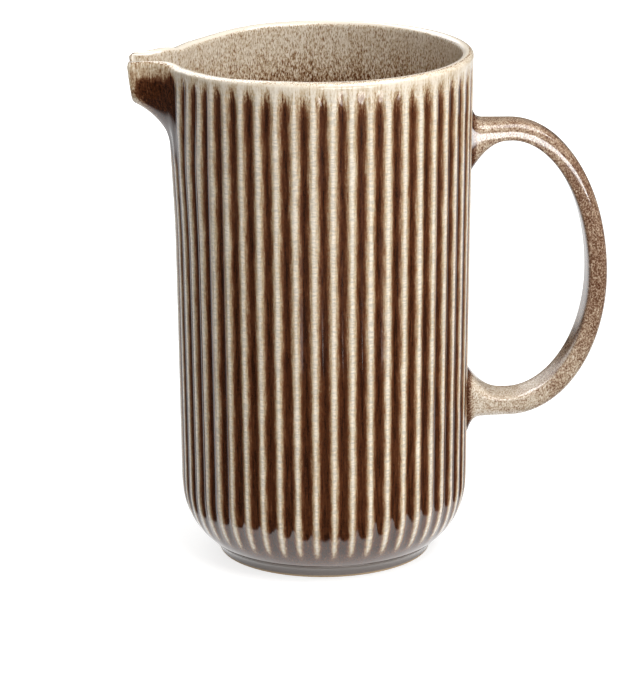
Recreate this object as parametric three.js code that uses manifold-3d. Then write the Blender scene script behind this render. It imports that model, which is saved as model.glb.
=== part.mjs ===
// A fluted stoneware jug: a turned and fluted vessel on a foot ring, with a trough spout and a strap handle
// that are luted to its wall with slip. Millimetres, +Z up, the handle towards +X and the spout towards -X.
// The origin is on the ground, under the middle of the jug's bounding box.

import * as THREE from 'three';
import { mergeVertices } from 'three/addons/utils/BufferGeometryUtils.js';
import Module from 'manifold-3d';

const wasm = await Module();
wasm.setup();

// Vessel
const jugHeight = 190;
const rimRadius = 55.2;
const heelRadius = 53.4; // where the straight wall turns into the heel
const heelCurve = 29.5; // radius of the heel, from the wall down to the foot
const wallThickness = 4.4;
const floorThickness = 5;
const rimFlat = 0.4; // level crest between the two rounded edges of the rim

// Flutes
const fluteCount = 50;
const fluteDepth = 1;
const rimBand = 2.4; // plain band under the rim
const fluteRunOut = 4; // height over which a flute rises out of the wall below that band
const fluteHeelFade = 12; // height over which it rises out of the heel above the foot

// Foot ring
const footRadius = 39.4;
const footHeight = 4;
const footWidth = 5.6;
const footStep = 1; // the vessel meets the ring this far inside the ring's edge
const footEdge = 0.6; // chamfer beside the ground face

// Spout
const spoutProjection = 16.2; // from the rim's edge to the pouring edge
const spoutRootDrop = 42; // from the rim down to where the underside leaves the wall
const spoutRootHalfWidth = 20;
const spoutTipHalfWidth = 8.75;
const spoutKeelCurve = 27; // radius of the underside, tangent to the wall
const spoutWall = 3.4;
const spoutLipDroop = 1.1; // the pouring edge hangs this far below the rim
const spoutTipRake = 0.1; // the cut end leans inwards this much for each millimetre down

// Handle
const handleProjection = 50.7; // from the rim's edge to the back of the grip
const handleTopDrop = 30.7; // from the rim down to the middle of the upper arm
const handleBottomRise = 54.2; // from the ground up to the middle of the lower arm
const handleCrownRise = 104; // height at which the grip reaches furthest out
const handleArm = 14; // straight run of each arm beyond the rim's radius
const handleThicknessTop = 7.4;
const handleThicknessBottom = 8;
const handleWidthTop = 13.4;
const handleWidthBottom = 16.4;
const handleSquareness = 2.5; // 2 is an ellipse, higher is squarer
const armpitReach = 12.5; // long flare on the inner side of each root
const armpitRise = 12;
const shoulderReach = 5.5; // short flare on its outer side
const shoulderRise = 5;
const cheekReach = 5; // flare on its two cheeks
const cheekRise = 2.2;
const flareCurve = 1.7; // 1 is a straight flare, higher is more hollow

// Joints
const slipBed = 0.9; // slip between the crests of the flutes and a luted piece
const clearance = 0.3; // between neighbouring pieces
const overshoot = 5; // how far a cutter runs past what it cuts

// One flute, from the middle of its groove: place in the pitch, and share of the depth
const flutePoints = [[0, 1], [0.22, 0.72], [0.36, 0], [0.64, 0], [0.78, 0.72]];

// Facets
const roundSegments = 2 * fluteCount;
const heelSteps = 5;
const rimSteps = 2;
const keelSteps = 8;
const troughSteps = 16;
const lipSteps = 4;
const gripSteps = 20;
const rootSteps = 6;
const rootCrowding = 1.3; // 1 spaces a root's rings evenly, higher crowds them towards the wall
const gripSides = 18;

// Heights and radii that follow from the sizes above
const seatHeight = footHeight + clearance;
const seatRadius = footRadius - footStep;
const heelCentre = heelRadius - heelCurve;
const heelTop = seatHeight + Math.sqrt(heelCurve ** 2 - (seatRadius - heelCentre) ** 2);
const floorTop = seatHeight + floorThickness;
const rimRound = (wallThickness - rimFlat) / 2;
const rimBase = jugHeight - rimRound;
const bandBase = jugHeight - rimBand;
const fluteTop = bandBase - fluteRunOut;
const spoutReach = rimRadius + spoutProjection;
const spoutRootRise = jugHeight - spoutRootDrop;
const spoutRootStation = Math.sqrt(rimRadius ** 2 - spoutRootHalfWidth ** 2);
const handleReach = rimRadius + handleProjection;
const handleTopRise = jugHeight - handleTopDrop;

function wallRadius(height) {
  return heelRadius + (rimRadius - heelRadius) * (height - heelTop) / (jugHeight - heelTop);
}

// Solids from closed geometry, and meshes from solids

function toSolid(geometry) {
  geometry.deleteAttribute('normal');
  geometry.deleteAttribute('uv');
  const merged = mergeVertices(geometry);
  const triangles = [];
  for (let i = 0; i < merged.index.count; i += 3) {
    const corners = [merged.index.getX(i), merged.index.getX(i + 1), merged.index.getX(i + 2)];
    if (new Set(corners).size === 3) triangles.push(...corners);
  }
  return new wasm.Manifold(new wasm.Mesh({
    numProp: 3,
    vertProperties: Float32Array.from(merged.attributes.position.array),
    triVerts: Uint32Array.from(triangles),
  }));
}

function toMesh(name, solid, material) {
  const { vertProperties, triVerts } = solid.getMesh();
  const geometry = new THREE.BufferGeometry();
  geometry.setAttribute('position', new THREE.BufferAttribute(vertProperties, 3));
  geometry.setIndex(new THREE.BufferAttribute(triVerts, 1));
  geometry.computeVertexNormals();
  const mesh = new THREE.Mesh(geometry, material);
  mesh.name = name;
  return mesh;
}

// Profiles are [radius, height] points that run anticlockwise, from the bottom outwards and up

function arc(centreRadius, centreHeight, radius, start, end, steps) {
  return Array.from({ length: steps + 1 }, (_, i) => {
    const angle = start + (end - start) * i / steps;
    return [centreRadius + radius * Math.cos(angle), centreHeight + radius * Math.sin(angle)];
  });
}

function turn(profile, segments) {
  const points = profile.map(([radius, height]) => new THREE.Vector2(radius, height));
  return new THREE.LatheGeometry(points, segments);
}

function revolve(profile) {
  return toSolid(turn(profile, roundSegments).rotateX(Math.PI / 2));
}

// Rings of equally many points, skinned into one closed shape whose two end rings are capped
function loft(rings) {
  const sides = rings[0].length;
  const last = (rings.length - 1) * sides;
  const index = [];
  for (let start = 0; start < last; start += sides) {
    for (let j = 0; j < sides; j += 1) {
      const a = start + j;
      const b = start + (j + 1) % sides;
      index.push(a, b, b + sides, a, b + sides, a + sides);
    }
  }
  const cap = (ring, offset, along) => {
    const outline = ring.map((point) => new THREE.Vector2(point.y, point.z));
    const sense = Math.sign(THREE.ShapeUtils.area(outline)) * along;
    for (const face of THREE.ShapeUtils.triangulateShape(outline, [])) {
      const same = Math.sign(THREE.ShapeUtils.area(face.map((k) => outline[k]))) === sense;
      index.push(...(same ? face : face.toReversed()).map((k) => offset + k));
    }
  };
  cap(rings[0], 0, -1);
  cap(rings.at(-1), last, 1);
  const geometry = new THREE.BufferGeometry().setFromPoints(rings.flat());
  geometry.setIndex(index);
  return toSolid(geometry);
}

// The vessel: a turned outside, drawn in along the grooves, less the bowl and the spout's channel

function fluteShare(height) {
  const belowBand = (bandBase - height) / fluteRunOut;
  const aboveFoot = (height - seatHeight) / fluteHeelFade;
  return THREE.MathUtils.clamp(Math.min(belowBand, aboveFoot), 0, 1);
}

function flutedOutside(grow) {
  const profile = [
    [0, seatHeight],
    ...arc(heelCentre, heelTop, heelCurve, -Math.acos((seatRadius - heelCentre) / heelCurve), 0, heelSteps),
    [wallRadius(fluteTop), fluteTop],
    [wallRadius(bandBase), bandBase],
    ...arc(rimRadius - rimRound, rimBase, rimRound, 0, Math.PI / 2, rimSteps),
    [0, jugHeight],
  ];
  const segments = fluteCount * flutePoints.length;
  const geometry = turn(profile, segments);
  const pitch = 2 * Math.PI / fluteCount;
  for (let i = 0; i <= segments; i += 1) {
    const flute = Math.floor(i % segments / flutePoints.length);
    const [place, depthShare] = flutePoints[i % flutePoints.length];
    const angle = (flute + place) * pitch;
    profile.forEach(([radius, height], row) => {
      const drawnIn = fluteDepth * depthShare * fluteShare(height);
      const reach = radius === 0 ? 0 : radius + grow - drawnIn;
      const vertex = i * profile.length + row;
      geometry.attributes.position.setXYZ(vertex, reach * Math.cos(angle), reach * Math.sin(angle), height);
    });
  }
  return toSolid(geometry);
}

function bowl() {
  const curve = heelCurve - wallThickness;
  const rimInside = rimRadius - wallThickness;
  return revolve([
    [0, floorTop],
    ...arc(heelCentre, heelTop, curve, -Math.asin((heelTop - floorTop) / curve), 0, heelSteps),
    ...arc(rimInside + rimRound, rimBase, rimRound, Math.PI, Math.PI / 2, rimSteps),
    [rimInside + rimRound, jugHeight + overshoot],
    [0, jugHeight + overshoot],
  ]);
}

// The plain cone of the wall's crests, grown by an offset: luted pieces are saddled to it
function saddle(offset) {
  const top = jugHeight + overshoot;
  return revolve([
    [0, heelTop],
    [wallRadius(heelTop) + offset, heelTop],
    [wallRadius(top) + offset, top],
    [0, top],
  ]);
}

// Slip that beds a luted piece: it fills the grooves under the piece and stands a little over the crests
function slipUnder(solid) {
  return solid.intersect(saddle(slipBed)).subtract(flutedOutside(clearance));
}

function luted(solid) {
  return solid.subtract(saddle(slipBed + clearance));
}

// The spout: a trough of half-elliptic sections, square to the pouring direction

function spoutStations() {
  const keelStart = wallRadius(spoutRootRise);
  const sweep = Math.acos(1 - (spoutReach - keelStart) / spoutKeelCurve);
  const stations = [{ reach: spoutRootStation - wallThickness - overshoot, keel: spoutRootRise }];
  for (let i = 0; i <= keelSteps; i += 1) {
    const angle = sweep * i / keelSteps;
    stations.push({
      reach: keelStart + spoutKeelCurve * (1 - Math.cos(angle)),
      keel: spoutRootRise + spoutKeelCurve * Math.sin(angle),
    });
  }
  return stations.map(({ reach, keel }) => {
    const inwards = Math.min(1, (spoutReach - reach) / (spoutReach - spoutRootStation));
    const halfWidth = spoutTipHalfWidth + (spoutRootHalfWidth - spoutTipHalfWidth) * inwards ** 2;
    const outwards = 1 - inwards;
    const lip = jugHeight - spoutLipDroop * outwards ** 2;
    return { reach, keel, halfWidth, lip, rake: spoutTipRake * outwards };
  });
}

function halfEllipse(halfWidth, top, depth) {
  return arc(0, 0, 1, 0, -Math.PI, troughSteps).map(([y, z]) => [halfWidth * y, top + depth * z]);
}

function atStation({ reach, lip, rake }, outline) {
  return outline.map(([y, z]) => new THREE.Vector3(rake * (lip - z) - reach, y, z));
}

function trough() {
  const lipRound = spoutWall / 2;
  return loft(spoutStations().map((station) => {
    const { keel, halfWidth, lip } = station;
    const top = lip - lipRound;
    const depth = top - keel;
    const outside = halfEllipse(halfWidth, top, depth);
    const inside = halfEllipse(halfWidth - spoutWall, top, depth - spoutWall).reverse();
    const farLip = arc(lipRound - halfWidth, top, lipRound, Math.PI, 0, lipSteps).slice(1, -1);
    const nearLip = arc(halfWidth - lipRound, top, lipRound, Math.PI, 0, lipSteps).slice(1, -1);
    return atStation(station, [...outside, ...farLip, ...inside, ...nearLip]);
  }));
}

function channel() {
  const top = jugHeight + overshoot;
  return loft(spoutStations().map((station) => {
    const { keel, halfWidth, lip } = station;
    const inner = halfWidth - spoutWall;
    const floor = lip - spoutWall / 2;
    const outline = [...halfEllipse(inner, floor, floor - keel - spoutWall), [-inner, top], [inner, top]];
    return atStation(station, outline);
  }));
}

// The handle: a strap on an ear-shaped path, whose two roots flare into the wall

function flare(distance, reach, rise) {
  return rise * THREE.MathUtils.clamp(1 - distance / reach, 0, 1) ** flareCurve;
}

function strapRing({ along, centre, outward, distance }) {
  const power = 2 / handleSquareness;
  const thickness = THREE.MathUtils.lerp(handleThicknessTop, handleThicknessBottom, along) / 2;
  const width = THREE.MathUtils.lerp(handleWidthTop, handleWidthBottom, along) / 2;
  const outer = thickness + flare(distance, shoulderReach, shoulderRise);
  const inner = thickness + flare(distance, armpitReach, armpitRise);
  const cheek = width + flare(distance, cheekReach, cheekRise);
  const round = (value) => Math.sign(value) * Math.abs(value) ** power;
  return Array.from({ length: gripSides }, (_, i) => {
    const angle = 2 * Math.PI * i / gripSides;
    const lift = round(Math.cos(angle));
    const point = centre.clone().addScaledVector(outward, lift * (lift > 0 ? outer : inner));
    point.y = -cheek * round(Math.sin(angle));
    return point;
  });
}

// Rings of one root, from inside the wall to the end of its longest flare
function rootRings(height, up, along) {
  const wall = wallRadius(height);
  const spacing = (i) => armpitReach * (i / rootSteps) ** rootCrowding;
  const distances = Array.from({ length: rootSteps + 1 }, (_, i) => spacing(i));
  return [-wallThickness, ...distances].map((distance) => strapRing({
    along,
    centre: new THREE.Vector3(wall + distance, 0, height),
    outward: new THREE.Vector3(0, 0, up),
    distance,
  }));
}

function gripRings() {
  const start = rimRadius + handleArm;
  const middle = (handleThicknessTop + handleThicknessBottom) / 4;
  const reach = handleReach - middle - start;
  return Array.from({ length: gripSteps + 1 }, (_, i) => {
    const along = i / gripSteps;
    const angle = Math.PI * (0.5 - along);
    const rise = angle > 0 ? handleTopRise - handleCrownRise : handleCrownRise - handleBottomRise;
    return strapRing({
      along,
      centre: new THREE.Vector3(start + reach * Math.cos(angle), 0, handleCrownRise + rise * Math.sin(angle)),
      outward: new THREE.Vector3(Math.cos(angle) / reach, 0, Math.sin(angle) / rise).normalize(),
      distance: Infinity,
    });
  });
}

const upperRoot = rootRings(handleTopRise, 1, 0);
const lowerRoot = rootRings(handleBottomRise, -1, 1).reverse();

// Foot ring
const footInside = footRadius - footWidth;
const footRing = revolve([
  [footInside + footEdge, 0],
  [footRadius - footEdge, 0],
  [footRadius, footEdge],
  [footRadius, footHeight - footStep],
  [seatRadius, footHeight],
  [footInside, footHeight],
  [footInside, footEdge],
  [footInside + footEdge, 0],
]);

const flutedGlaze = new THREE.MeshStandardMaterial({ color: 0x6b4630, roughness: 0.25, metalness: 0 });
const speckledGlaze = new THREE.MeshStandardMaterial({ color: 0x9c7d5e, roughness: 0.25, metalness: 0 });
const slip = new THREE.MeshStandardMaterial({ color: 0x8a6a4e, roughness: 0.4, metalness: 0 });
const bareClay = new THREE.MeshStandardMaterial({ color: 0xc4a27c, roughness: 0.8, metalness: 0 });

// The pieces are modelled about the vessel's own axis, and the group centres the whole jug on the origin
const jug = new THREE.Group();
jug.position.x = (spoutReach - handleReach) / 2;
jug.add(
  toMesh('body', flutedOutside(0).subtract(bowl()).subtract(channel()), flutedGlaze),
  toMesh('foot_ring', footRing, bareClay),
  toMesh('spout', luted(trough()), speckledGlaze),
  toMesh('spout_slip', slipUnder(trough()), slip),
  toMesh('handle', luted(loft([...upperRoot, ...gripRings(), ...lowerRoot])), speckledGlaze),
  toMesh('handle_upper_slip', slipUnder(loft(upperRoot)), slip),
  toMesh('handle_lower_slip', slipUnder(loft(lowerRoot)), slip),
);

export default jug;
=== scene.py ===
import bpy
import numpy as np
from mathutils import Matrix, Vector


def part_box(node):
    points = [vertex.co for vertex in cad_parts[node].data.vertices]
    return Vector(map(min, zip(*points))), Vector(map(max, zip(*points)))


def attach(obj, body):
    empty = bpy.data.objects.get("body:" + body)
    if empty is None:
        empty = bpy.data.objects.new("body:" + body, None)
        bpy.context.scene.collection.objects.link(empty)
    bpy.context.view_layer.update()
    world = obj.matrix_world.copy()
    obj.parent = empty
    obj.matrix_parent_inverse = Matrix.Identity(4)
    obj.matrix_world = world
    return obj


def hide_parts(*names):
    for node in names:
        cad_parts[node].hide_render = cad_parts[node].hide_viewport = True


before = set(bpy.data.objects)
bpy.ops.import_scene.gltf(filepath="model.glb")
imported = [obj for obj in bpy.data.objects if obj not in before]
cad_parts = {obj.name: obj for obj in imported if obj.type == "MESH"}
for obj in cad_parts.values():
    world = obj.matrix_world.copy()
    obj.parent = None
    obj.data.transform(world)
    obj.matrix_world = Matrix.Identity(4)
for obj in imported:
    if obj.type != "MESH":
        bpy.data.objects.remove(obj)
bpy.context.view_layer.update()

mm = 0.001  # sizes below are in millimetres, angles in degrees
halvings = 36  # steps in which an edge without a formula of its own is closed in on
noiseRange = (0.3, 0.7)  # most of a noise lies between these
glazeIor = 1.7
white = (1, 1, 1, 1)
scene = bpy.context.scene


def boxOf(node):
    low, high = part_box(node)
    return np.array(low) / mm, np.array(high) / mm


# what the frame fixes: the vessel's axis, its height and radii, and how far the spout and the handle reach
bodyLow, bodyHigh = boxOf("body")
footLow, footHigh = boxOf("foot_ring")
axisX = (footLow[0] + footHigh[0]) / 2
jugHeight = bodyHigh[2]
rimRadius = bodyHigh[1]
seatHeight = bodyLow[2]
footRadius = footHigh[1]
footHeight = footHigh[2]
spoutReach = axisX - boxOf("spout")[0][0]
handleReach = boxOf("handle")[1][0] - axisX
print(f"frame: {jugHeight:.1f} mm tall, axis at x {axisX:.2f} mm")


def linearColour(hexCode):
    srgb = np.array([int(hexCode[i:i + 2], 16) for i in (1, 3, 5)]) / 255
    linear = np.where(srgb <= 0.04045, srgb / 12.92, ((srgb + 0.055) / 1.055) ** 2.4)
    return (*linear.tolist(), 1.0)


# S-curve from 0 at start to 1 at end
def smoothStep(start, end, value):
    t = np.clip((value - start) / (end - start), 0, 1)
    return t * t * (3 - 2 * t)


# the larger of two surfaces with a fillet where they meet, and the first one's share in it
def softMax(first, second, fillet):
    share = np.clip(0.5 + 0.5 * (first - second) / fillet, 0, 1)
    return second + (first - second) * share + fillet * share * (1 - share), share


def softMin(first, second, fillet):
    return -softMax(-first, -second, fillet)[0]


# a mesh with its own fields, which rides on the jug's one body and stands for CAD nodes
def addPiece(name, points, faces, fields, material, nodes):
    mesh = bpy.data.meshes.new(name)
    mesh.from_pydata((points * mm).tolist(), [], faces)
    for field, values in fields.items():
        layer = mesh.attributes.new(field, "FLOAT", "POINT")
        layer.data.foreach_set("value", values.astype(np.float32))
    mesh.shade_smooth()
    mesh.materials.append(material)
    piece = bpy.data.objects.new(name, mesh)
    scene.collection.objects.link(piece)
    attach(piece, "root")
    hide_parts(*nodes)
    print(f"{name}: {len(points)} points, replaces {', '.join(nodes)}")


# a grid of rings closed round its columns, and shut at both ends by a point
def addRings(name, rings, poles, fields, material, nodes):
    rows, columns = rings.shape[:2]
    points = np.vstack([poles[0], rings.reshape(-1, 3), poles[1]])
    here = np.arange(rows * columns).reshape(rows, columns) + 1
    beside = np.roll(here, -1, axis=1)
    quads = np.stack([here[:-1], beside[:-1], beside[1:], here[1:]], axis=-1).reshape(-1, 4)
    firstFan = np.stack([np.zeros(columns, int), beside[0], here[0]], axis=-1)
    lastFan = np.stack([np.full(columns, len(points) - 1), here[-1], beside[-1]], axis=-1)
    faces = quads.tolist() + firstFan.tolist() + lastFan.tolist()
    shut = {}
    for field, values in fields.items():
        shut[field] = np.concatenate([[values[0].mean()], values.ravel(), [values[-1].mean()]])
    addPiece(name, points, faces, shut, material, nodes)


def addNode(tree, kind, settings=None, inputs=None):
    node = tree.nodes.new(kind)
    for key, value in (settings or {}).items():
        setattr(node, key, value)
    for key, value in (inputs or {}).items():
        if isinstance(value, bpy.types.NodeSocket):
            tree.links.new(value, node.inputs[key])
        else:
            node.inputs[key].default_value = value
    return node


def startMaterial(name):
    material = bpy.data.materials.new(name)
    material.use_nodes = True
    tree = material.node_tree
    tree.nodes.clear()
    return material, tree


# Reactive stoneware glaze, dipped and fired. It breaks to cream where it runs thin, on ridges, lips and
# edges, and pools to a dark red-brown in the grooves. Between the two it curdles into tan with brown specks.
# Its colours by thickness, from 0 for thin to 1 for pooled:
vesselColours = [
    (0.00, "#f3e8d7"),
    (0.14, "#e9dcc8"),
    (0.27, "#d3be9f"),
    (0.42, "#ae9070"),
    (0.57, "#7d563b"),
    (0.74, "#59321d"),
    (1.00, "#341a0e"),
]
# the handle took less of it, and its colours are a little greyer, partly as fired and partly a painted
# neutral sheen
handleColours = [
    (0.00, "#f0e7da"),
    (0.14, "#e4d9c9"),
    (0.27, "#cfbda5"),
    (0.42, "#a98f77"),
    (0.57, "#785844"),
    (0.74, "#553524"),
    (1.00, "#331c12"),
]
# each noise: size in mm, stretch along the height (below 1 draws it out), and how far it shifts the
# thickness; real specks and wrinkles go down to 0.1 or 0.2 mm, and are drawn coarser here so that they show
vesselGlaze = {
    "colours": vesselColours,
    "speck": (0.42, 0.35, 0.8),
    "run": (0.8, 0.09, 0.8),
    "cloud": (9.0, 0.5, 0.25),
    "curdle": (3.0, 4.0, 0.25),  # wrinkles across a ridge
    "wrinkleSpread": (0.38, 0.62),  # part of their noise that shows
    "wrinkleShade": (-0.24, 0.1),  # and what it takes off the colour or adds to it
    "wrinkleSwell": 0.2,  # height of a wrinkle against a ripple's
    "ripple": (2.4, 0.6),  # swell of the glassy surface
    "rippleHeight": 0.04,
    "rippleStrength": 0.6,
    "roughness": (0.07, 0.13),
}
handleGlaze = {
    **vesselGlaze,
    "colours": handleColours,
    "speck": (0.55, 0.8, 1.15),
    "run": (1.5, 0.7, 0.25),
    "cloud": (8.0, 0.6, 0.3),
    "curdle": (0.9, 1.0, 0.2),
    "rippleHeight": 0.008,
    "roughness": (0.05, 0.09),
}


def reactiveGlaze(name, look):
    material, tree = startMaterial(name)
    place = addNode(tree, "ShaderNodeTexCoord").outputs["Object"]
    noise = {}
    for layer in ("speck", "run", "cloud", "curdle", "ripple"):
        size, stretch = look[layer][:2]
        drawn = addNode(tree, "ShaderNodeMapping", {}, {"Vector": place, "Scale": (1, 1, stretch)})
        noise[layer] = addNode(tree, "ShaderNodeTexNoise", {}, {
            "Vector": drawn.outputs[0], "Scale": 1 / (size * mm), "Detail": 2, "Roughness": 0.6,
        }).outputs[0]

    # thickness: from the piece's own fields, which also say how far specks and runs unsettle it
    field = {}
    for kind in ("pool", "grain", "streak", "wrinkle"):
        field[kind] = addNode(tree, "ShaderNodeAttribute", {"attribute_name": kind}).outputs["Fac"]
    pool = field["pool"]
    shares = {"speck": field["grain"], "run": field["streak"], "cloud": 1, "curdle": 1}
    for layer, share in shares.items():
        amount = look[layer][2]
        shift = addNode(tree, "ShaderNodeMapRange", {"clamp": False}, {
            "Value": noise[layer], "To Min": -amount / 2, "To Max": amount / 2,
        })
        pool = addNode(tree, "ShaderNodeMath", {"operation": "MULTIPLY_ADD"}, {
            0: shift.outputs[0], 1: share, 2: pool,
        }).outputs[0]
    ramp = addNode(tree, "ShaderNodeValToRGB", {}, {"Fac": pool})
    stops = ramp.color_ramp.elements
    while len(stops) < len(look["colours"]):
        stops.new(0.5)
    for stop, (position, hexCode) in zip(stops, look["colours"]):
        stop.position = position
        stop.color = linearColour(hexCode)

    # wrinkles dull the cream a little, and swell the surface with the larger ripples
    start, end = look["wrinkleSpread"]
    low, high = look["wrinkleShade"]
    dulled = addNode(tree, "ShaderNodeMapRange", {}, {
        "Value": noise["curdle"], "From Min": start, "From Max": end, "To Min": low, "To Max": high,
    })
    shade = addNode(tree, "ShaderNodeMath", {"operation": "MULTIPLY_ADD"}, {
        0: dulled.outputs[0], 1: field["wrinkle"], 2: 1,
    })
    colour = addNode(tree, "ShaderNodeVectorMath", {"operation": "MULTIPLY"}, {
        0: ramp.outputs[0], 1: shade.outputs[0],
    })
    swell = addNode(tree, "ShaderNodeMath", {"operation": "MULTIPLY_ADD"}, {
        0: noise["curdle"], 1: look["wrinkleSwell"], 2: noise["ripple"],
    })
    bump = addNode(tree, "ShaderNodeBump", {}, {
        "Height": swell.outputs[0], "Distance": look["rippleHeight"] * mm,
        "Strength": look["rippleStrength"],
    })

    # the shine varies a little with the cloud
    start, end = noiseRange
    low, high = look["roughness"]
    gloss = addNode(tree, "ShaderNodeMapRange", {}, {
        "Value": noise["cloud"], "From Min": start, "From Max": end, "To Min": low, "To Max": high,
    })
    shader = addNode(tree, "ShaderNodeBsdfPrincipled", {}, {
        "Base Color": colour.outputs[0], "Roughness": gloss.outputs[0], "IOR": glazeIor,
        "Normal": bump.outputs[0],
    })
    addNode(tree, "ShaderNodeOutputMaterial", {}, {"Surface": shader.outputs[0]})
    return material


# The vessel and its spout, one skin under one glaze. Turns are measured from the spout.
vessel = {
    "heelRadius": 53.4,  # where the wall turns into the heel
    "heelCurve": 29.5,
    "heelRise": 25.7,  # from the seat up to where the heel starts
    "heelFullness": 2.28,  # 2 is a circle's arc
    "seatSink": 0.4,  # depth to which the heel is sunk into the foot ring
    "wall": 4.4,
    "floor": 5.0,
    "rimRound": 2.0,
    "flutes": 50,
    "fluteDepth": 0.75,
    "rimBand": 1.5,  # plain band under the rim
    "runOut": 8.0,  # height over which a groove rises out of the wall
    "heelFade": (3, 19),  # height above the seat over which they fade on the heel
    "pull": 1.0,  # the wall beside the spout is pulled out
    "pullFrom": (46, 20),  # turn over which it grows
    "pullRise": (118, 160),
    "lean": 2.2,  # and its flutes lean away from the spout
    "leanRise": (150, 185),
    "rimDip": 1.3,  # and its rim sinks a little
    "dipFrom": (74, 34),  # turn over which it sinks
    "dipTo": (11, 19),  # and over which it is back at the lip
    "oval": 0.6,  # towards the handle the rim is drawn out by this
    "columnsPerFlute": 12,
    "columnsPerSpoutFlute": 28,
    "spoutFlutes": 3,  # on each side of the spout
    "zoneDrop": 14,  # from the spout's root down to where the finer rows start
    "rows": {"heel": 18, "wall": 13, "zone": 48, "crest": 7, "channel": 28, "bowl": 8, "bend": 9},
    "closing": (0.3, 0.6, 0.85, 0.97),  # rings that close the underside and the floor
}
spout = {
    "rootDrop": 42.0,  # from the rim down to where the underside leaves the wall
    "rootSink": 1.2,  # it starts this far inside the wall
    "rootSlope": 0.3,
    "rootTurn": 30,  # turn at which its sides leave the rim, along the rim's tangent
    "tipHalfWidth": 8.75,
    "keelCurve": 27.0,
    "wall": 3.4,
    "lipDroop": 1.1,
    "tipRake": 0.1,
    "tipSkew": 1.5,  # the cut runs back this far from the near lip to the far one
    "tipRound": 1.2,
    "squareness": 2.1,
    "sideFrom": (18, 14.5),  # turn over which the flutes give way to its plain side
    "fillet": 2.4,  # where it grows out of the wall
    "edge": 1.0,  # rounding of the pouring edge
    "mouthRound": 1.2,  # and of its two corners
    "mouthLift": 0.3,
    "widestTurn": 60,  # beyond this turn there is no spout
}

heelCentre = vessel["heelRadius"] - vessel["heelCurve"]
heelBase = seatHeight - vessel["seatSink"]
heelTop = heelBase + vessel["heelRise"]
floorTop = seatHeight + vessel["floor"]
bandBase = jugHeight - vessel["rimBand"]
spoutRise = jugHeight - spout["rootDrop"]
zoneBase = spoutRise - vessel["zoneDrop"]


# a straight cone above the heel, a full arc (superellipse) below it, both drawn in by inset
def plainRadius(height, inset):
    climb = (height - heelTop) / (jugHeight - heelTop)
    cone = vessel["heelRadius"] + (rimRadius - vessel["heelRadius"]) * climb
    full, curve = vessel["heelFullness"], vessel["heelCurve"] - inset
    drop = np.clip((heelTop - height) / curve, 0, 1)
    heel = heelCentre + curve * (1 - drop ** full) ** (1 / full)
    return np.where(height < heelTop, heel, cone - inset)


# how far the wall is pulled out towards the spout, from 0 to 1
def pullShare(turn, height):
    return smoothStep(*vessel["pullFrom"], np.abs(turn)) * smoothStep(*vessel["pullRise"], height)


# and by how much towards the spout and the handle together
def pulledOut(turn, height):
    facing = np.clip(-np.cos(np.radians(turn)), 0, None) ** 2
    drawnOut = vessel["oval"] * facing * np.clip(height / jugHeight, 0, 1) ** 2
    return vessel["pull"] * pullShare(turn, height) + drawnOut


# the plain wall, the depth of a cosine groove that repeats round it, and the place across the flute:
# 0 groove, 1 ridge
def flutedWall(turn, height):
    pulled = pullShare(turn, height)
    lean = vessel["lean"] * pulled * smoothStep(*vessel["leanRise"], height)
    phase = (turn - np.sign(turn) * lean) * vessel["flutes"] / 360
    across = np.abs(phase - np.round(phase))
    share = smoothStep(bandBase, bandBase - vessel["runOut"], height)
    share = share * smoothStep(*vessel["heelFade"], height - seatHeight)
    groove = vessel["fluteDepth"] * share * (0.5 + 0.5 * np.cos(2 * np.pi * across))
    return plainRadius(height, 0) + pulledOut(turn, height), groove, 2 * across


# half width and lip height of the trough at a station along the pouring direction: a power curve from the
# tip that runs into the rim's circle along its tangent
def spoutSection(station, inset):
    radius = rimRadius - inset * vessel["wall"] / spout["wall"]
    rootTurn = np.radians(spout["rootTurn"])
    rootStation, rootHalf = radius * np.cos(rootTurn), radius * np.sin(rootTurn)
    tipHalf = spout["tipHalfWidth"] - inset
    power = (spoutReach - rootStation) / (rootHalf - tipHalf) / np.tan(rootTurn)
    inwards = np.clip((spoutReach - station) / (spoutReach - rootStation), 0, 1)
    halfWidth = tipHalf + (rootHalf - tipHalf) * inwards ** power
    return halfWidth, jugHeight - spout["lipDroop"] * (1 - inwards) ** 2


# height of the underside at a station: a quarter circle out from the root, a steep line into the wall below
def keelHeight(station):
    start = plainRadius(spoutRise, 0) - spout["rootSink"]
    out = np.clip(1 - (station - start) / spout["keelCurve"], 0, 1)
    quarter = spout["keelCurve"] * np.sqrt(1 - out ** 2)
    return spoutRise + quarter - np.clip(start - station, 0, None) / spout["rootSlope"]


# station at which a level ray from the axis leaves the trough, half a superellipse in section, found by
# halving the interval
def spoutStation(turn, height, inset):
    slant = np.tan(np.radians(np.clip(np.abs(turn), 0, spout["widestTurn"])))
    low = np.zeros(np.broadcast(turn, height).shape)
    high = low + plainRadius(spoutRise, 0) + spout["keelCurve"]
    for _ in range(halvings):
        middle = (low + high) / 2
        halfWidth, lip = spoutSection(middle, inset)
        top = lip - spout["wall"] / 2
        drop = np.clip((top - height) / np.clip(top - keelHeight(middle) - inset, 0.1, None), 0, 1)
        narrowing = (1 - drop ** spout["squareness"]) ** (1 / spout["squareness"])
        inside = halfWidth * narrowing > middle * slant
        low, high = np.where(inside, middle, low), np.where(inside, high, middle)
    return low


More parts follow.
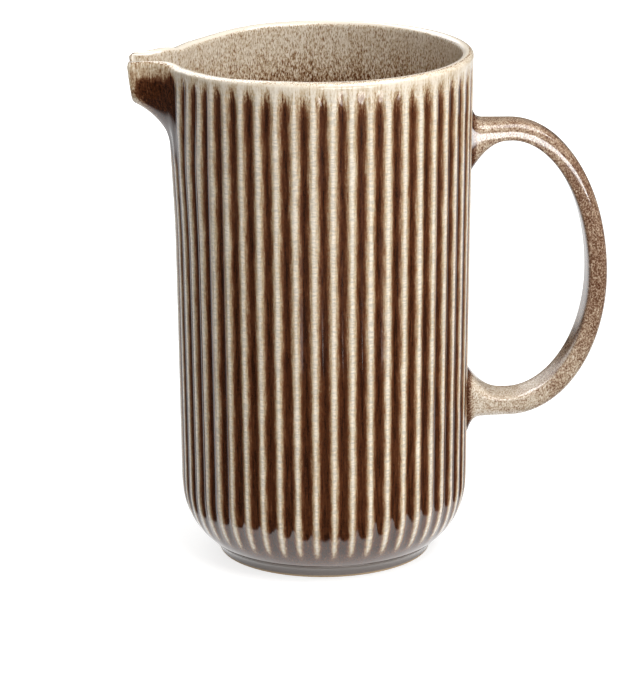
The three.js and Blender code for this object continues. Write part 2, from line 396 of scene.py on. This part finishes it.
# outside: the fluted wall and the trough's side, ended by the raked cut, with a fillet between them
def outside(turn, height):
    wall, groove, ridge = flutedWall(turn, height)
    angle = np.radians(np.clip(turn, -spout["widestTurn"], spout["widestTurn"]))
    farShare = np.clip(0.5 - 0.5 * spoutReach * np.sin(angle) / spout["tipHalfWidth"], 0, 1)
    belowLip = jugHeight - spout["lipDroop"] - height
    tip = spoutReach - spout["tipRake"] * belowLip - spout["tipSkew"] * farShare
    trough = softMin(spoutStation(turn, height, 0), tip, spout["tipRound"]) / np.cos(angle)
    radius, share = softMax(trough, wall, spout["fillet"])
    share = share * smoothStep(*spout["sideFrom"], np.abs(turn))
    return radius - groove * (1 - share), share, ridge


# inside: the bowl and the trough's channel
def insideRadius(turn, height):
    facing = np.cos(np.radians(np.clip(np.abs(turn), 0, spout["widestTurn"])))
    channel = spoutStation(turn, height, spout["wall"]) / facing
    bowl = plainRadius(height, vessel["wall"]) + pulledOut(turn, height)
    return softMax(channel, bowl, spout["fillet"])[0]


# height of the crest round the jug: the rim with its dip beside the spout, the drooping lip, and at the
# mouth the height where the channel has eaten the wall down to the rounded pouring edge
def crestHeights(turn):
    aside = np.abs(turn)
    station = np.minimum(spoutStation(turn, np.full_like(turn, jugHeight), 0), spoutReach)
    dip = smoothStep(*vessel["dipFrom"], aside) * smoothStep(*vessel["dipTo"], aside)
    lip = spoutSection(station, 0)[1] - vessel["rimDip"] * dip
    low, high = np.full_like(turn, spoutRise), lip.copy()
    for _ in range(halvings):
        middle = (low + high) / 2
        thick = outside(turn, middle)[0] - insideRadius(turn, middle) > 2 * spout["edge"]
        low, high = np.where(thick, middle, low), np.where(thick, high, middle)
    return softMin(lip, low, spout["mouthRound"]) + spout["mouthLift"]


# where the glaze lies on the vessel: its thickness, the millimetres or turns over which that changes, and
# how far specks (grain) and runs (streak) unsettle it
glazing = {
    "thin": 0.15,  # under the rim
    "thick": 0.88,  # at most, in a groove
    "rimPale": (0.2, 9, 4),  # drop below the crest over which grooves fill, and what the flanks add to it
    "flankTurn": (45, 85),
    "spread": ([12, 60, 105, 180], [1.4, 1.22, 1.05, 0.95]),  # by height, how far a pool fills its groove
    "heel": 0.74,
    "heelLine": (14.5, 8),
    "spout": (0.34, 0.86),  # along the spout's edges, and in the pool on its side
    "poolDrop": (4.5, 8.5),  # that pool's borders: below the lip, behind the tip and above the keel
    "poolTip": (1.5, 5),
    "poolKeel": (2, 6.5),
    "poolSlant": 0.25,
    "crease": 0.92,  # where the spout leaves the wall: pooled glaze with painted shade
    "creaseDrop": (1, 6),
    "creaseRise": (145, 160),
    "crest": (0.36, 0.02),  # outer rows of the crest up to its top
    "crestGrain": (2.2, 2.2, 3.2, 2.6),
    "crestInside": (-0.15, 4),  # thickness and rows down the inside; palest, partly a painted highlight on the crest
    "crestInsideGrain": (2.2, 3),
    "grain": {"wall": 0.4, "spout": 0.6, "fade": 2, "heelLine": 2},
    "streak": {"wall": 0.4, "spout": 0.6, "groove": 0.6, "fade": 3},
    "bowl": (0.2, 0.24, 0.14),  # below the crest, and added further down and in the depth: partly painted shade
    "bowlDrop": (3, 27),
    "bowlDepth": (14, 30),
    "bowlGrain": (1.9, 0.6),
    "under": {"pool": 0.74, "grain": 0.4, "streak": 0.4, "wrinkle": 0},
}


# outside: thick in the grooves and wider lower down, thin on ridges and under the rim, pooled on the spout's
# sides, pooled glaze with painted shade in the crease beside it, thin again along the pouring edge
def glazeOutside(turn, heights, radii, below, share, ridge):
    start, drop, extra = glazing["rimPale"]
    filled = smoothStep(start, drop + extra * smoothStep(*glazing["flankTurn"], np.abs(turn)), below)
    groove = np.minimum((1 - ridge) * np.interp(heights, *glazing["spread"]), glazing["thick"])
    pool = glazing["thin"] + (groove - glazing["thin"]) * filled
    heel = smoothStep(*glazing["heelLine"], heights)
    pool = pool + (glazing["heel"] - pool) * heel

    station = radii * np.cos(np.radians(turn))
    fromTip = np.clip(spoutReach - station, 0, None)
    fromKeel = heights - keelHeight(station) + glazing["poolSlant"] * fromTip
    sidePool = smoothStep(*glazing["poolDrop"], below) * smoothStep(*glazing["poolTip"], fromTip)
    sidePool = sidePool * smoothStep(*glazing["poolKeel"], fromKeel)
    edgeThickness, poolThickness = glazing["spout"]
    pool = pool + (edgeThickness + (poolThickness - edgeThickness) * sidePool - pool) * share
    # painted shade, with pooled glaze, in the crease where the spout leaves the wall
    crease = smoothStep(*glazing["creaseDrop"], below) * smoothStep(*glazing["creaseRise"], heights)
    pool = pool + (glazing["crease"] - pool) * 4 * share * (1 - share) * crease
    crestRows = np.array(glazing["crest"])[:, None]
    pool[-len(crestRows):] = crestRows

    fade = filled * (1 - filled) * (1 - share)
    weight = glazing["grain"]
    grain = weight["wall"] + weight["spout"] * share + weight["fade"] * fade
    grain = grain + weight["heelLine"] * heel * (1 - heel)
    crestRows = np.array(glazing["crestGrain"])[:, None]
    grain[-len(crestRows):] = crestRows
    weight = glazing["streak"]
    streak = weight["wall"] + weight["spout"] * share + weight["fade"] * fade
    streak = streak + weight["groove"] * (1 - ridge) * filled * (1 - share)
    return {"pool": pool, "grain": grain, "streak": streak, "wrinkle": filled * (1 - share)}


# inside: tan with specks, darker further down, partly as thicker glaze and partly as painted shade deep in
# the bowl
def glazeInside(below):
    lower = smoothStep(*glazing["bowlDrop"], below)
    first, more, most = glazing["bowl"]
    # darker further down: thicker glaze, and painted shade deep in the bowl
    pool = first + more * lower + most * smoothStep(*glazing["bowlDepth"], below)
    # the crest's top and inner side are kept palest, partly as a painted highlight
    thickness, rows = glazing["crestInside"]
    pool[:rows] = thickness
    first, more = glazing["bowlGrain"]
    grain = first + more * lower
    specks, rows = glazing["crestInsideGrain"]
    grain[:rows] = specks
    streak = 0 * pool + glazing["streak"]["wall"]
    return {"pool": pool, "grain": grain, "streak": streak, "wrinkle": 0 * pool}


def buildVessel(material):
    sector = vessel["spoutFlutes"] * 360 / vessel["flutes"]
    spoutColumns = 2 * vessel["spoutFlutes"] * vessel["columnsPerSpoutFlute"]
    plainColumns = (vessel["flutes"] - 2 * vessel["spoutFlutes"]) * vessel["columnsPerFlute"]
    spoutTurns = np.linspace(-sector, sector, spoutColumns, endpoint=False)
    plainTurns = np.linspace(sector, 360 - sector, plainColumns, endpoint=False)
    turn = np.concatenate([spoutTurns, np.where(plainTurns > 180, plainTurns - 360, plainTurns)])
    crest = crestHeights(turn)
    rounding = np.minimum(vessel["rimRound"], (outside(turn, crest)[0] - insideRadius(turn, crest)) / 2)
    brow = crest - rounding  # where the rounded crest begins
    rows = vessel["rows"]
    arcs = np.radians(np.linspace(0, 90, rows["crest"]))[1:, None]

    # rows up the outside: heel, wall, spout zone and the outer half of the crest
    heelStart = np.arcsin(vessel["heelRise"] / vessel["heelCurve"])
    heelRows = heelTop - vessel["heelCurve"] * np.sin(np.linspace(heelStart, 0, rows["heel"]))
    wallRows = np.linspace(heelTop, zoneBase, rows["wall"])[1:]
    levelRows = np.concatenate([heelRows, wallRows])[:, None] + 0 * turn
    zoneRows = zoneBase + np.linspace(0, 1, rows["zone"])[1:, None] * (brow - zoneBase)
    outerHeights = np.vstack([levelRows, zoneRows, brow + rounding * np.sin(arcs)])
    outerRadii, share, ridge = outside(turn, outerHeights)
    outerRadii[-len(arcs):] -= rounding * (1 - np.cos(arcs))

    # rows down the inside: the inner half of the crest, the channel, the bowl and its bend
    channelRows = zoneBase + np.linspace(1, 0, rows["channel"])[1:, None] * (brow - zoneBase)
    bowlRows = np.linspace(zoneBase, heelTop, rows["bowl"])[1:]
    curve = vessel["heelCurve"] - vessel["wall"]
    bendEnd = np.arcsin((heelTop - floorTop) / curve)
    bendRows = heelTop - curve * np.sin(np.linspace(0, bendEnd, rows["bend"]))[1:]
    levelRows = np.concatenate([bowlRows, bendRows])[:, None] + 0 * turn
    innerHeights = np.vstack([brow + rounding * np.sin(arcs[::-1]), brow[None], channelRows, levelRows])
    innerRadii = insideRadius(turn, innerHeights)
    innerRadii[:len(arcs)] += rounding * (1 - np.cos(arcs[::-1]))

    # level rings close the underside and the floor
    closing = np.array(vessel["closing"])[:, None]
    underRadii, floorRadii = closing * outerRadii[0], closing[::-1] * innerRadii[-1]
    underHeights, floorHeights = np.full_like(underRadii, heelBase), np.full_like(floorRadii, floorTop)
    heights = np.vstack([underHeights, outerHeights, innerHeights, floorHeights])
    radii = np.vstack([underRadii, outerRadii, innerRadii, floorRadii])
    angle = np.radians(turn)
    rings = np.stack([axisX - radii * np.cos(angle), -radii * np.sin(angle), heights], axis=-1)

    outer = glazeOutside(turn, outerHeights, outerRadii, crest - outerHeights, share, ridge)
    inner = glazeInside(crest - innerHeights)
    fields = {}
    for field, under in glazing["under"].items():
        floor = np.repeat(inner[field][-1:], len(closing), axis=0)
        fields[field] = np.vstack([np.full_like(underRadii, under), outer[field], inner[field], floor])
    poles = (axisX, 0, heelBase), (axisX, 0, floorTop)
    addRings("glazed_vessel", rings, poles, fields, material,
             ["body", "spout", "spout_slip"])


buildVessel(reactiveGlaze("reactive_stoneware_glaze", vesselGlaze))

# The strap handle, pulled and luted on, its two roots flared into the wall.
handle = {
    "topDrop": 30.7,  # from the rim down to the middle of the upper arm
    "bottomRise": 54.2,
    "crownRise": 104.0,  # height at which the grip reaches furthest out
    "arm": 14.0,
    "thickness": (7.4, 8.0),  # at the upper and the lower root
    "width": (13.4, 16.4),
    "squareness": 4.0,
    "widest": 0.55,  # the section is widest this share of the half thickness inside its middle
    "taper": 0.035,  # and narrows by this share towards its outer face
    "armpit": (13.0, 10.9, 2.0),  # flares: reach along the arm, rise at the wall, and how hollow they are
    "shoulder": (5.5, 6.0, 3.2),
    "cheek": (18.0, 2.4, 1.7),
    "bed": 1.4,  # depth at which the roots start under the crests of the flutes
    # thickness from the upper arm to the lower: thinner on the lower arm, partly as glaze and partly as a
    # painted highlight
    "glazeAndPaintedSheen": ([0, 0.25, 0.5, 0.75, 1], [0.45, 0.53, 0.57, 0.4, 0.3]),  # along the handle
    "paler": 0.05,  # at the roots it is thinner by this
    "palerFrom": (18, 4),
    "crease": 0.8,  # and thick in the crease at the wall, with painted shade
    "creaseFrom": (2.6, 0.2),
    "sides": 96,
    "armRows": 34,
    "armCrowding": 1.3,  # above 1 the rows crowd at the wall
    "gripRows": 120,
}


# a rise at the wall that falls to nothing at its reach, as a power of the distance left
def flare(distance, size):
    reach, rise, hollow = size
    return rise * np.clip(1 - np.clip(distance, 0, None) / reach, 0, 1) ** hollow


# a superellipse carried along a straight arm, half an ear-shaped oval and a second arm; the flares grow it
# towards the wall, and the roots bend with the wall
def buildHandle(material):
    topRise = jugHeight - handle["topDrop"]
    armEnd = rimRadius + handle["arm"]
    reach = handleReach - sum(handle["thickness"]) / 4 - armEnd
    topWall, bottomWall = plainRadius(topRise, 0), plainRadius(handle["bottomRise"], 0)
    steps = np.linspace(0, 1, handle["armRows"]) ** handle["armCrowding"]
    topArm = topWall - handle["bed"] + steps * (armEnd - topWall + handle["bed"])
    bottomArm = (bottomWall - handle["bed"] + steps * (armEnd - bottomWall + handle["bed"]))[::-1]
    swing = np.radians(np.linspace(90, -90, handle["gripRows"] + 2)[1:-1])
    rise = np.where(swing > 0, topRise - handle["crownRise"], handle["crownRise"] - handle["bottomRise"])

    # the path with its outward normals, the distance from the wall, and the way along: 0 upper arm, 1 lower
    pathX = np.concatenate([topArm, armEnd + reach * np.cos(swing), bottomArm])
    pathZ = np.concatenate([0 * topArm + topRise, handle["crownRise"] + rise * np.sin(swing),
                            0 * bottomArm + handle["bottomRise"]])
    normal = np.stack([np.cos(swing) / reach, np.sin(swing) / rise])
    normal /= np.linalg.norm(normal, axis=0)
    normalX = np.concatenate([0 * topArm, normal[0], 0 * bottomArm])
    normalZ = np.concatenate([0 * topArm + 1, normal[1], 0 * bottomArm - 1])
    distance = np.concatenate([topArm - topWall, np.full_like(swing, np.inf), bottomArm - bottomWall])
    along = np.concatenate([0 * topArm, np.linspace(0, 1, len(swing)), 0 * bottomArm + 1])

    around = np.radians(np.linspace(0, 360, handle["sides"], endpoint=False))
    power = 2 / handle["squareness"]
    lift = np.sign(np.cos(around)) * np.abs(np.cos(around)) ** power
    side = np.sign(np.sin(around)) * np.abs(np.sin(around)) ** power
    half = np.interp(along, [0, 1], handle["thickness"]) / 2
    outer = (half + flare(distance, handle["shoulder"]))[:, None]
    inner = (half + flare(distance, handle["armpit"]))[:, None]
    cheek = np.interp(along, [0, 1], handle["width"]) / 2 + flare(distance, handle["cheek"])
    sink = handle["widest"] * half[:, None]
    lift = lift * np.where(lift > 0, outer + sink, inner - sink) - sink
    y = -cheek[:, None] * side * (1 - handle["taper"] * lift / half[:, None])
    wall = np.where(along < 0.5, topWall, bottomWall)[:, None]
    rootShare = np.clip(1 - distance / handle["armpit"][0], 0, 1)[:, None]
    sag = (wall - np.sqrt(wall ** 2 - y ** 2)) * rootShare
    x = axisX + pathX[:, None] + normalX[:, None] * lift - sag
    z = pathZ[:, None] + normalZ[:, None] * lift
    rings = np.stack([x, y, z], axis=-1)

    # glaze: tan and specked on the grip, paler on the roots, and on the lower arm partly as a painted
    # highlight;
    # dark in the crease at the wall, as thick glaze with painted shade
    paler = handle["paler"] * smoothStep(*handle["palerFrom"], distance)[:, None]
    pool = np.interp(along, *handle["glazeAndPaintedSheen"])[:, None] - paler + 0 * x
    pool = pool + (handle["crease"] - pool) * smoothStep(*handle["creaseFrom"], distance)[:, None]
    fields = {"pool": pool, "grain": 0 * pool + 1, "streak": 0 * pool + 1, "wrinkle": 0 * pool}
    poles = [(rings[end, :, 0].mean(), 0, rings[end, :, 2].mean()) for end in (0, -1)]
    addRings("strap_handle", rings, poles, fields, material,
             ["handle", "handle_upper_slip", "handle_lower_slip"])


buildHandle(reactiveGlaze("speckled_stoneware_glaze", handleGlaze))

# The foot ring, turned stoneware: a thin glaze with some shine on its side, its colour lightened to grey as
# a painted reflection of the white table. The glaze is wiped off the edge that stands on the table, where
# the clay is bare, matt and sandy.
foot = {
    "width": 5.6,
    "flare": 3.6,  # its side spreads by this to meet the heel
    "flareFrom": 0.9,  # and starts to at this height
    "tuck": 1.4,  # its top is tucked up into the heel
    "edge": 0.6,
    "hollowLean": 1.0,  # the hollow side leans in by this
    "hollowDrop": 0.4,  # from this far below the top
    "columns": 240,
    "edgeRows": 6,
    "sideRows": 8,
}
footLook = {
    # glaze colour, lightened to grey as a painted reflection of the white table
    "glazeAndPaintedSheen": "#776b64",
    "clay": "#cdb08a",
    "wipeLine": (0.75, 1.1),  # height up to which the glaze is wiped off, and where it is whole
    "wipeWave": 0.3,
    "grit": 0.5,  # finer in the clay, and drawn coarser so that it shows
    "gritHeight": 0.04,
    "gritStrength": 0.5,
    "mottle": (0.86, 1.05),
    "roughness": (0.75, 0.12),  # of the clay and of the glaze
}


def stonewareFoot():
    material, tree = startMaterial("wiped_stoneware_foot")
    place = addNode(tree, "ShaderNodeTexCoord").outputs["Object"]
    grit = addNode(tree, "ShaderNodeTexNoise", {}, {
        "Vector": place, "Scale": 1 / (footLook["grit"] * mm), "Detail": 2,
    }).outputs[0]
    height = addNode(tree, "ShaderNodeSeparateXYZ", {}, {0: place}).outputs["Z"]
    wavy = addNode(tree, "ShaderNodeMath", {"operation": "MULTIPLY_ADD"}, {
        0: grit, 1: footLook["wipeWave"] * mm, 2: height,
    })
    low, high = footLook["wipeLine"]
    glazed = addNode(tree, "ShaderNodeMapRange", {}, {
        "Value": wavy.outputs[0], "From Min": low * mm, "From Max": high * mm,
    }).outputs[0]
    colour = addNode(tree, "ShaderNodeMix", {"data_type": "RGBA"}, {
        0: glazed, 6: linearColour(footLook["clay"]), 7: linearColour(footLook["glazeAndPaintedSheen"]),
    })
    start, end = noiseRange
    low, high = footLook["mottle"]
    mottle = addNode(tree, "ShaderNodeMapRange", {}, {
        "Value": grit, "From Min": start, "From Max": end, "To Min": low, "To Max": high,
    })
    mottled = addNode(tree, "ShaderNodeVectorMath", {"operation": "MULTIPLY"}, {
        0: colour.outputs[2], 1: mottle.outputs[0],
    })
    low, high = footLook["roughness"]
    gloss = addNode(tree, "ShaderNodeMapRange", {}, {"Value": glazed, "To Min": low, "To Max": high})
    bump = addNode(tree, "ShaderNodeBump", {}, {
        "Height": grit, "Distance": footLook["gritHeight"] * mm, "Strength": footLook["gritStrength"],
    })
    shader = addNode(tree, "ShaderNodeBsdfPrincipled", {}, {
        "Base Color": mottled.outputs[0], "Roughness": gloss.outputs[0], "IOR": glazeIor,
        "Normal": bump.outputs[0],
    })
    addNode(tree, "ShaderNodeOutputMaterial", {}, {"Surface": shader.outputs[0]})
    return material


# a closed profile turned about the axis: ground face, side with a parabola's flare into the heel, top, and
# the hollow side
def buildFoot(material):
    inner, edge = footRadius - foot["width"], foot["edge"]
    bend = np.radians(np.linspace(0, 90, foot["edgeRows"]))
    rising, top = np.linspace(0, 1, foot["sideRows"]), footHeight + foot["tuck"]
    sideRadii = footRadius + foot["flare"] * rising ** 2
    sideHeights = foot["flareFrom"] + rising * (top - foot["flareFrom"])
    profile = np.concatenate([
        np.stack([footRadius - edge + edge * np.sin(bend), edge - edge * np.cos(bend)], axis=1),
        np.stack([sideRadii, sideHeights], axis=1),
        [[inner + foot["hollowLean"], top], [inner, footHeight - foot["hollowDrop"]]],
        np.stack([inner + edge - edge * np.cos(bend), edge - edge * np.sin(bend)], axis=1),
    ])
    angle = np.radians(np.linspace(0, 360, foot["columns"], endpoint=False))
    radii, heights = profile[:, :1], profile[:, 1:]
    points = np.stack([axisX + radii * np.cos(angle), radii * np.sin(angle), heights + 0 * angle], axis=-1)
    here = np.arange(points[..., 0].size).reshape(len(profile), -1)
    above = np.roll(here, -1, axis=0)
    quads = np.stack([here, np.roll(here, -1, axis=1), np.roll(above, -1, axis=1), above], axis=-1)
    addPiece("foot_ring_glazed", points.reshape(-1, 3), quads.reshape(-1, 4).tolist(), {}, material,
             ["foot_ring"])


buildFoot(stonewareFoot())

# The table under the jug, a sheet painted matt white, which the camera sees fade into the white behind it.
# The glaze mirrors only its lit part close to the jug, a round with a straight front, as it would show of a
# plinth in a dim studio.
table = {
    "front": -300,
    "back": 1100,
    "side": 480,
    "fade": (150, 330),
    "lift": 0.75,  # own light of the sheet, as the camera sees it
    "mirrored": 1.0,  # and as the glaze mirrors it
    "lit": {"radius": 82, "shift": 8, "front": -66.5, "soft": 1.5},  # shifted towards the handle
    "dark": -35,  # nearer the camera than this the glaze mirrors no light through the sheet
    "paint": "#b4b4b2",
    "roughness": 0.9,
}


def buildTable():
    material, tree = startMaterial("matt_white_table")
    place = addNode(tree, "ShaderNodeTexCoord").outputs["Object"]
    depth = addNode(tree, "ShaderNodeSeparateXYZ", {}, {0: place}).outputs["Y"]
    path = addNode(tree, "ShaderNodeLightPath").outputs
    mirrored = addNode(tree, "ShaderNodeMath", {"operation": "MAXIMUM"}, {
        0: path["Is Glossy Ray"], 1: path["Is Transmission Ray"],
    }).outputs[0]

    # its own light: for the camera it grows away from the jug, and the glaze mirrors it as white
    away = addNode(tree, "ShaderNodeVectorMath", {"operation": "DISTANCE"}, {
        0: place, 1: (axisX * mm, 0, 0),
    })
    low, high = table["fade"]
    glow = addNode(tree, "ShaderNodeMapRange", {"interpolation_type": "SMOOTHSTEP"}, {
        "Value": away.outputs["Value"], "From Min": low * mm, "From Max": high * mm,
        "To Min": table["lift"], "To Max": 1,
    })
    seen = addNode(tree, "ShaderNodeMath", {"operation": "MULTIPLY"}, {
        0: glow.outputs[0], 1: path["Is Camera Ray"],
    })
    strength = addNode(tree, "ShaderNodeMath", {"operation": "MULTIPLY_ADD"}, {
        0: mirrored, 1: table["mirrored"], 2: seen.outputs[0],
    })
    paint = addNode(tree, "ShaderNodeBsdfPrincipled", {}, {
        "Base Color": linearColour(table["paint"]), "Roughness": table["roughness"],
        "Emission Color": white, "Emission Strength": strength.outputs[0],
    })

    # beyond the lit part the glaze looks through the sheet, and sees nothing in front of the dark line
    lit = table["lit"]
    fromMiddle = addNode(tree, "ShaderNodeVectorMath", {"operation": "DISTANCE"}, {
        0: place, 1: ((axisX + lit["shift"]) * mm, 0, 0),
    })
    fromEdge = addNode(tree, "ShaderNodeMath", {"operation": "SUBTRACT"}, {
        0: lit["radius"] * mm, 1: fromMiddle.outputs["Value"],
    })
    fromFront = addNode(tree, "ShaderNodeMath", {"operation": "SUBTRACT"}, {0: depth, 1: lit["front"] * mm})
    inwards = addNode(tree, "ShaderNodeMath", {"operation": "MINIMUM"}, {
        0: fromEdge.outputs[0], 1: fromFront.outputs[0],
    })
    beyond = addNode(tree, "ShaderNodeMapRange", {}, {
        "Value": inwards.outputs[0], "From Min": lit["soft"] * mm, "From Max": -lit["soft"] * mm,
    })
    unlit = addNode(tree, "ShaderNodeMath", {"operation": "MULTIPLY"}, {0: beyond.outputs[0], 1: mirrored})
    behind = addNode(tree, "ShaderNodeMath", {"operation": "GREATER_THAN"}, {
        0: depth, 1: table["dark"] * mm,
    })
    clear = addNode(tree, "ShaderNodeBsdfTransparent", {}, {"Color": behind.outputs[0]})
    shader = addNode(tree, "ShaderNodeMixShader", {}, {
        0: unlit.outputs[0], 1: paint.outputs[0], 2: clear.outputs[0],
    })
    addNode(tree, "ShaderNodeOutputMaterial", {}, {"Surface": shader.outputs[0]})

    reach, front, back = table["side"] * mm, table["front"] * mm, table["back"] * mm
    corners = [(-reach, front, 0), (reach, front, 0), (reach, back, 0), (-reach, back, 0)]
    mesh = bpy.data.meshes.new("table")
    mesh.from_pydata(corners, [], [(0, 1, 2, 3)])
    mesh.materials.append(material)
    sheet = bpy.data.objects.new("table", mesh)
    scene.collection.objects.link(sheet)


# The studio. Softboxes light the jug and show in its glaze, but the left one only shows in the glaze, and
# the rear one only lights the jug's back.
softboxes = {
    "key": {"turn": 16, "rise": 0, "away": 1500, "size": (1200, 200), "power": 7.5},
    "top": {"turn": 44, "rise": 55, "away": 1300, "size": (1100, 900), "power": 16.5},
    "low": {"turn": 38, "rise": -22.8, "away": 1500, "size": (1500, 170), "power": 4.2},
    "left": {"turn": -142, "rise": 44, "away": 1500, "size": (1500, 1100), "power": 16.6},
    "rear": {"turn": 180, "rise": 12, "away": 1500, "size": (1200, 700), "power": 9},
}
studio = {
    "fill": ("#7a7a7c", "#ffffff"),  # soft light from all round, and from straight above
    "fillRise": (0.45, 1.0),  # sine of the rise over which the second takes over
    "dark": "#2c2c2e",  # the room in the glaze, apart from two white parts
    "backdrop": {"turn": 180, "rise": -25, "edge": (0.5, 0.68)},  # the edge is a cosine from its middle
    "backdropTop": (-0.08, -0.2),  # and the backdrop ends at this sine of the rise
    "sidePanel": {"turn": -145, "rise": 32, "edge": (0.8, 0.88)},
}


# direction at a turn to the right of the camera's side and a rise above level
def studioDirection(turn, rise):
    turn, rise = np.radians(turn), np.radians(rise)
    return np.sin(turn) * np.cos(rise), -np.cos(turn) * np.cos(rise), np.sin(rise)


def buildLamps():
    middle = Vector((axisX, 0, jugHeight / 2)) * mm
    for name, lamp in softboxes.items():
        light = bpy.data.lights.new(f"{name}_softbox", "AREA")
        light.shape = "RECTANGLE"
        light.size, light.size_y = (edge * mm for edge in lamp["size"])
        light.energy = lamp["power"]
        softbox = bpy.data.objects.new(light.name, light)
        towards = Vector(studioDirection(lamp["turn"], lamp["rise"]))
        softbox.location = middle + towards * lamp["away"] * mm
        softbox.rotation_euler = (-towards).to_track_quat("-Z", "Y").to_euler()
        softbox.visible_diffuse = name != "left"
        softbox.visible_glossy = name != "rear"
        scene.collection.objects.link(softbox)


# white for the camera, a soft fill for the light, and in the glaze a dark room with its white parts
def buildWorld():
    world = bpy.data.worlds.new("studio")
    scene.world = world
    world.use_nodes = True
    tree = world.node_tree
    tree.nodes.clear()
    direction = addNode(tree, "ShaderNodeTexCoord").outputs["Generated"]
    rise = addNode(tree, "ShaderNodeSeparateXYZ", {}, {0: direction}).outputs["Z"]
    measured = [("backdropTop", rise, studio["backdropTop"]), ("fillRise", rise, studio["fillRise"])]
    for name in ("backdrop", "sidePanel"):
        near = addNode(tree, "ShaderNodeVectorMath", {"operation": "DOT_PRODUCT"}, {
            0: direction, 1: studioDirection(studio[name]["turn"], studio[name]["rise"]),
        })
        measured.append((name, near.outputs["Value"], studio[name]["edge"]))
    share = {}
    for name, value, (low, high) in measured:
        share[name] = addNode(tree, "ShaderNodeMapRange", {"interpolation_type": "SMOOTHSTEP"}, {
            "Value": value, "From Min": low, "From Max": high,
        }).outputs[0]
    backdrop = addNode(tree, "ShaderNodeMath", {"operation": "MULTIPLY"}, {
        0: share["backdrop"], 1: share["backdropTop"],
    })
    pale = addNode(tree, "ShaderNodeMath", {"operation": "MAXIMUM"}, {
        0: backdrop.outputs[0], 1: share["sidePanel"],
    })
    path = addNode(tree, "ShaderNodeLightPath").outputs
    mirrored = addNode(tree, "ShaderNodeMath", {"operation": "MAXIMUM"}, {
        0: path["Is Glossy Ray"], 1: path["Is Transmission Ray"],
    })
    around, above = studio["fill"]
    fill = addNode(tree, "ShaderNodeMix", {"data_type": "RGBA"}, {
        0: share["fillRise"], 6: linearColour(around), 7: linearColour(above),
    })
    room = addNode(tree, "ShaderNodeMix", {"data_type": "RGBA"}, {
        0: pale.outputs[0], 6: linearColour(studio["dark"]), 7: white,
    })
    lit = addNode(tree, "ShaderNodeMix", {"data_type": "RGBA"}, {
        0: mirrored.outputs[0], 6: fill.outputs[2], 7: room.outputs[2],
    })
    colour = addNode(tree, "ShaderNodeMix", {"data_type": "RGBA"}, {
        0: path["Is Camera Ray"], 6: lit.outputs[2], 7: white,
    })
    shader = addNode(tree, "ShaderNodeBackground", {}, {"Color": colour.outputs[2], "Strength": 1})
    addNode(tree, "ShaderNodeOutputWorld", {}, {"Surface": shader.outputs[0]})


# The camera stands a little to the spout's side of the jug's flank, and looks down on it.
camera = {
    "aim": (-21.08, 0.27, 75.97),
    "turn": -3.88,
    "rise": 16.41,
    "away": 1530.7,
    "roll": 0.42,
    "lens": 211.07,
    "sensor": 36,
}


def buildCamera():
    back = np.array(studioDirection(camera["turn"], camera["rise"]))
    view = bpy.data.cameras.new("camera")
    view.lens, view.sensor_width = camera["lens"], camera["sensor"]
    holder = bpy.data.objects.new("camera", view)
    roll = Matrix.Rotation(-np.radians(camera["roll"]), 4, "Z")
    facing = Vector(-back).to_track_quat("-Z", "Y").to_matrix().to_4x4()
    place = (np.array(camera["aim"]) + camera["away"] * back) * mm
    holder.matrix_world = Matrix.Translation(place) @ facing @ roll
    scene.collection.objects.link(holder)
    scene.camera = holder


buildTable()
buildLamps()
buildWorld()
buildCamera()
scene.view_settings.view_transform = "Standard"
print("stage: table, five softboxes, white backdrop, camera")
